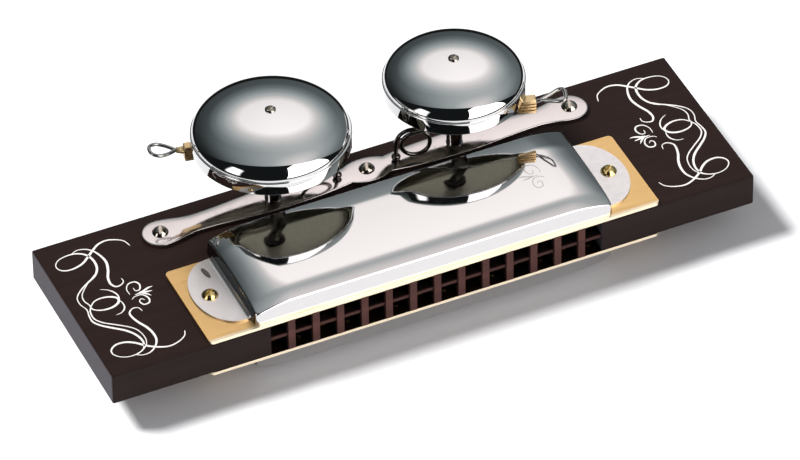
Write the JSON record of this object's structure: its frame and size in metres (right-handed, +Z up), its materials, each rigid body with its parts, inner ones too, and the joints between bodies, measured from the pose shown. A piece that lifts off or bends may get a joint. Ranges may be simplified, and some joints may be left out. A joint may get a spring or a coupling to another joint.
{
  "type": "harmonica with bells",
  "caption": "Tremolo harmonica with a dark wooden comb, brass reed plates, chromed covers, and two bells with sprung strikers on its back edge.",
  "frame": {"origin": "middle of the lower cover's flat underside, on which the instrument rests", "axes": "+X from the low notes to the high notes along the comb, +Y from the mouth side to the back, +Z up"},
  "size_m": [0.19, 0.0682, 0.0527],
  "materials": {
    "dark_wood": "satin lacquer",
    "comb_wood": "satin",
    "plate_brass": "satin",
    "reed_brass": "satin",
    "screw_brass": "polished",
    "hammer_brass": "satin",
    "cover_chrome": "polished",
    "bell_chrome": "mirror",
    "nickel_strap": "polished nickel",
    "nickel_screws": "polished nickel",
    "steel_wire": "drawn spring wire",
    "washers": "matte"
  },
  "bodies": {
    "instrument": {"bell_strap": "nickel_strap", "bell_washers": "washers", "chamber_divider": "comb_wood", "chamber_walls": "comb_wood", "comb": "dark_wood", "left_bell": "bell_chrome", "left_bell_post": "nickel_strap", "left_bell_screw": "nickel_screws", "left_striker_spring": "steel_wire", "lower_blow_reeds": "reed_brass", "lower_cover": "cover_chrome", "lower_cover_screws": "screw_brass", "lower_draw_reeds": "reed_brass", "lower_plate_nails": "screw_brass", "lower_reed_plate": "plate_brass", "lower_reed_rivets": "reed_brass", "right_bell": "bell_chrome", "right_bell_post": "nickel_strap", "right_bell_screw": "nickel_screws", "right_striker_spring": "steel_wire", "strap_screws": "nickel_screws", "striker_anchors": "steel_wire", "upper_blow_reeds": "reed_brass", "upper_cover": "cover_chrome", "upper_cover_screws": "screw_brass", "upper_draw_reeds": "reed_brass", "upper_plate_nails": "screw_brass", "upper_reed_plate": "plate_brass", "upper_reed_rivets": "reed_brass"},
    "left_striker": {"left_hammer": "hammer_brass", "left_loop_ferrule": "hammer_brass", "left_striker_arm": "steel_wire"},
    "right_striker": {"right_hammer": "hammer_brass", "right_striker_arm": "steel_wire"}
  },
  "joints": [
    {"name": "left_striker_press", "type": "hinge", "parent": "instrument", "child": "left_striker", "pos_m": [-0.01387, 0.03151, 0.0266], "axis": [-0.1886, -0.982, 0], "range_deg": [-0.5, 11], "stiffness_Nm_per_rad": 0.06},
    {"name": "right_striker_press", "type": "hinge", "parent": "instrument", "child": "right_striker", "pos_m": [0.01367, 0.02759, 0.0266], "axis": [0.2868, 0.958, 0], "range_deg": [-0.5, 11], "stiffness_Nm_per_rad": 0.06}
  ]
}
